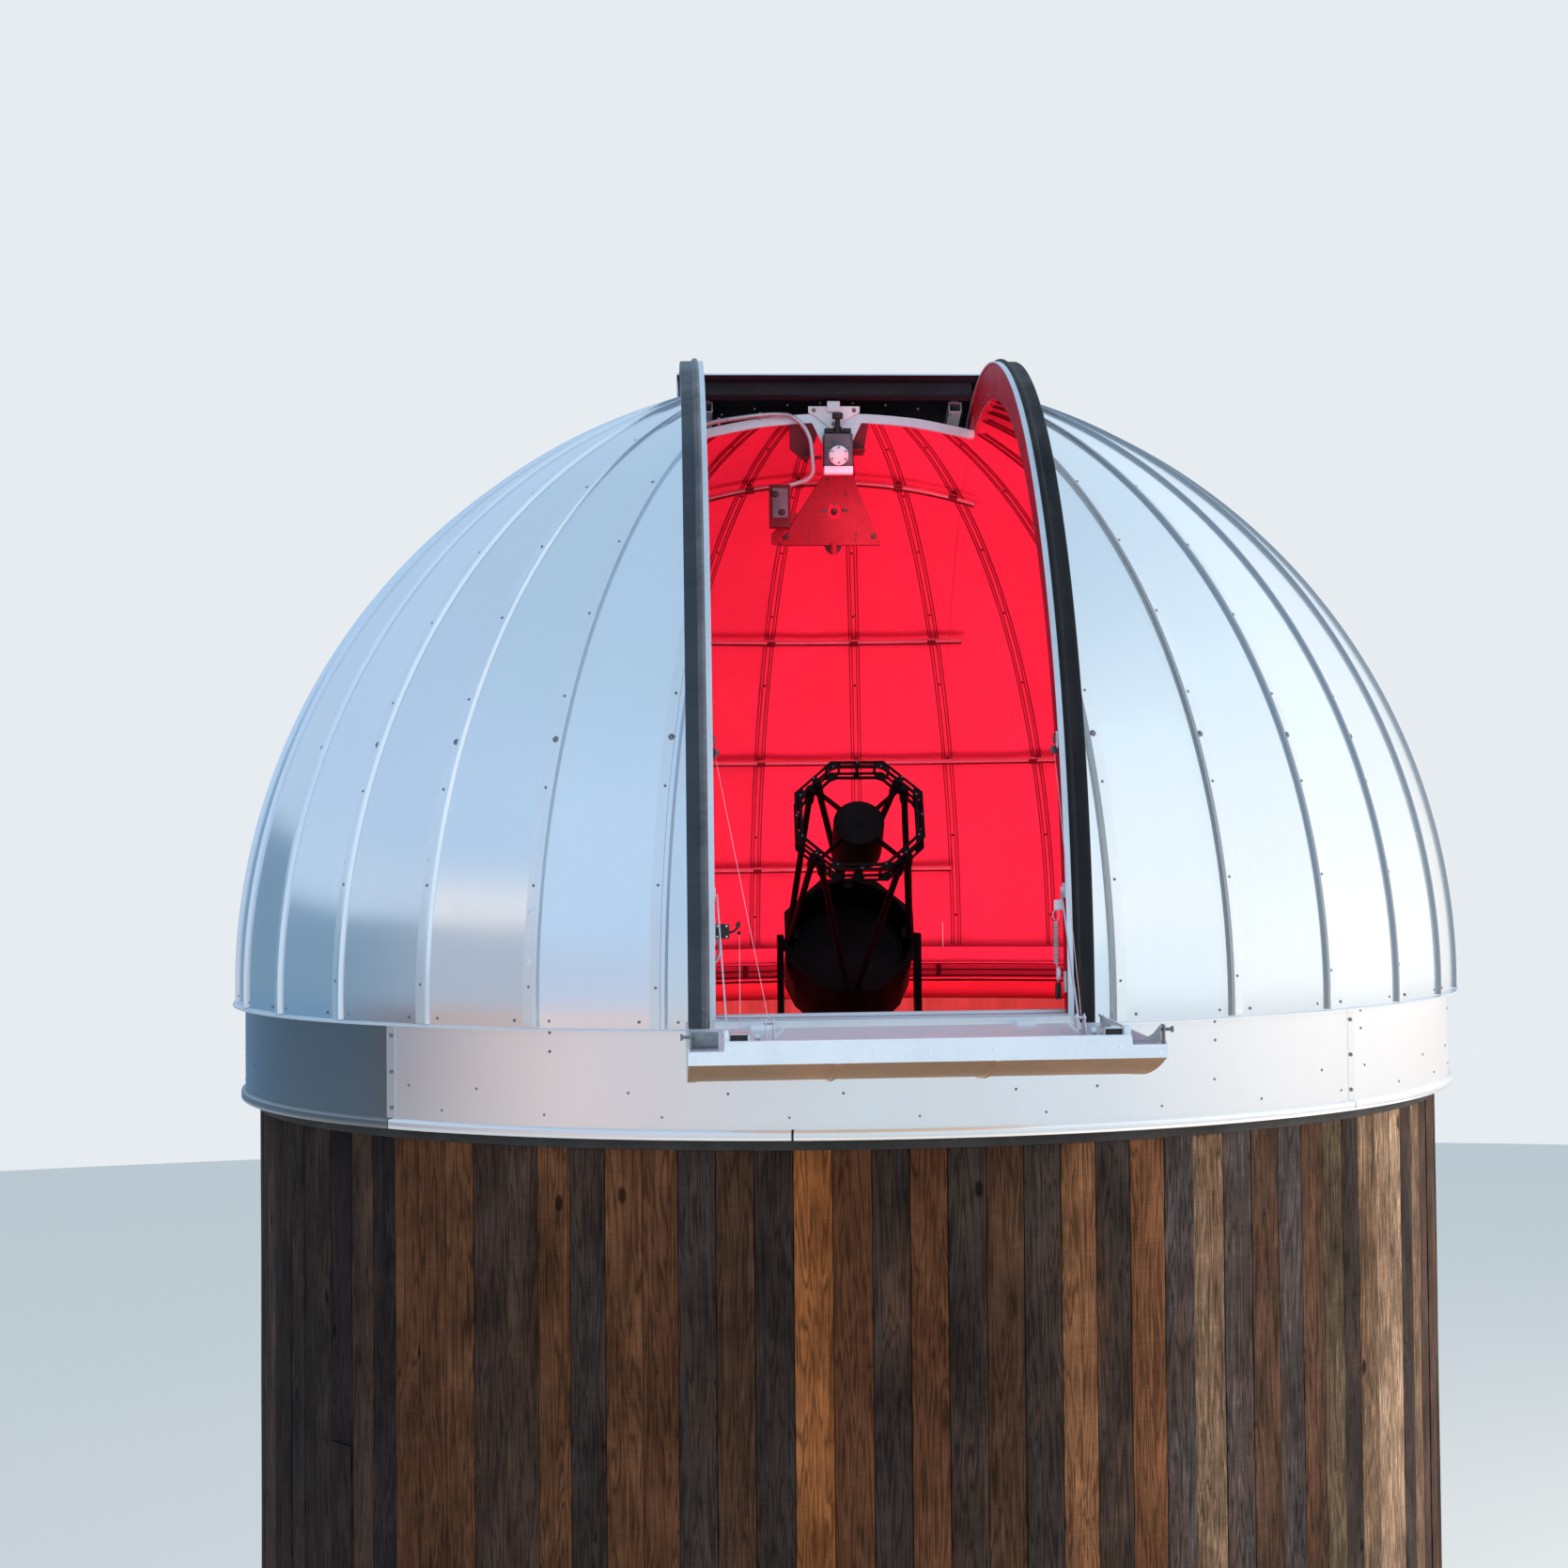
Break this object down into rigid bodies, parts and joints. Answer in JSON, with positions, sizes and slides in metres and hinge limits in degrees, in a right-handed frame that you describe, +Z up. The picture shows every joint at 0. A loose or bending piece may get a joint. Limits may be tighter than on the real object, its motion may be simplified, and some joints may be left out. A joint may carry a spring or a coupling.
{
  "type": "observatory dome",
  "caption": "Round boarded observatory tower with a rotating metal dome, an open slit with an upper and a swing-out lower shutter, and a truss telescope inside",
  "frame": {"origin": "on the dome's turning axis at ground level, in the middle of the slab's underside", "axes": "+Z up along the dome's turning axis, -Y out through the open slit, +X to the right of someone who looks at the slit from outside"},
  "size_m": [4.51, 5.9533, 6.4682],
  "materials": {
    "concrete": "rough cast concrete",
    "wall_boards": "weathered reclaimed boards",
    "pale_wood": "plain sawn timber",
    "galvanised": "dull mill sheet",
    "skirt_metal": "dull mill sheet",
    "white_metal": "pale extruded metal",
    "inner_metal": "sheet under red light",
    "dark_steel": "dark painted steel",
    "red_metal": "sheet under red light",
    "black_metal": "matt black",
    "rubber": "black weather seal"
  },
  "bodies": {
    "building": {"ground_slab": "concrete", "wall_front": "wall_boards", "wall_front_right": "wall_boards", "wall_right": "wall_boards", "wall_rear_right": "wall_boards", "wall_rear_left": "wall_boards", "wall_left": "wall_boards", "wall_front_left": "wall_boards", "wall_doorway_right": "wall_boards", "wall_doorway_left": "wall_boards", "wall_doorway_lintel": "wall_boards", "doorway_frame": "pale_wood", "observing_floor": "pale_wood", "roller_track": "dark_steel", "telescope_pier": "dark_steel"},
    "dome": {"base_ring": "galvanised", "skirt_front": "skirt_metal", "skirt_right": "skirt_metal", "skirt_rear": "skirt_metal", "skirt_left": "skirt_metal", "dome_skin_front_right": "galvanised", "dome_skin_front_left": "galvanised", "dome_skin_side_right": "galvanised", "dome_skin_side_left": "galvanised", "dome_skin_rear_right": "galvanised", "dome_skin_rear_left": "galvanised", "dome_skin_rear_middle": "galvanised", "slit_curb_right": "galvanised", "slit_curb_left": "galvanised", "slit_seal_right": "rubber", "slit_seal_left": "rubber", "slit_header": "white_metal", "slit_sill": "white_metal", "flap_hinge_right": "dark_steel", "flap_hinge_left": "dark_steel", "inner_bar_lowest": "inner_metal", "inner_bar_lower": "inner_metal", "inner_bar_upper": "inner_metal", "inner_bar_highest": "inner_metal", "shutter_gearbox": "white_metal", "motor_plate": "red_metal", "control_box": "black_metal"},
    "upper_shutter": {"upper_shutter_cover": "galvanised", "upper_shutter_beam": "dark_steel"},
    "lower_shutter": {"lower_shutter_cover": "galvanised", "lower_shutter_beam": "white_metal", "lower_shutter_rail_right": "white_metal", "lower_shutter_rail_left": "white_metal"},
    "telescope_turntable": {"telescope_fork": "black_metal"},
    "telescope_tube": {"telescope_cell": "black_metal", "telescope_truss": "black_metal", "secondary_baffle": "black_metal"}
  },
  "joints": [
    {"name": "dome_rotation", "type": "hinge", "parent": "building", "child": "dome", "pos_m": [0, 0, 4.03], "axis": [0, 0, 1], "continuous": true},
    {"name": "upper_shutter_travel", "type": "hinge", "parent": "dome", "child": "upper_shutter", "pos_m": [0, 0, 4.15], "axis": [1, 0, 0], "range_deg": [0, 69]},
    {"name": "lower_shutter_swing", "type": "hinge", "parent": "dome", "child": "lower_shutter", "pos_m": [0, -2.33164, 4.1093], "axis": [-1, 0, 0], "range_deg": [0, 104.9]},
    {"name": "telescope_azimuth", "type": "hinge", "parent": "building", "child": "telescope_turntable", "pos_m": [0, 0, 3.76], "axis": [0, 0, 1], "range_deg": [-180, 180]},
    {"name": "telescope_altitude", "type": "hinge", "parent": "telescope_turntable", "child": "telescope_tube", "pos_m": [0, 0, 4.268], "axis": [-1, 0, 0], "range_deg": [-33, 57]}
  ]
}
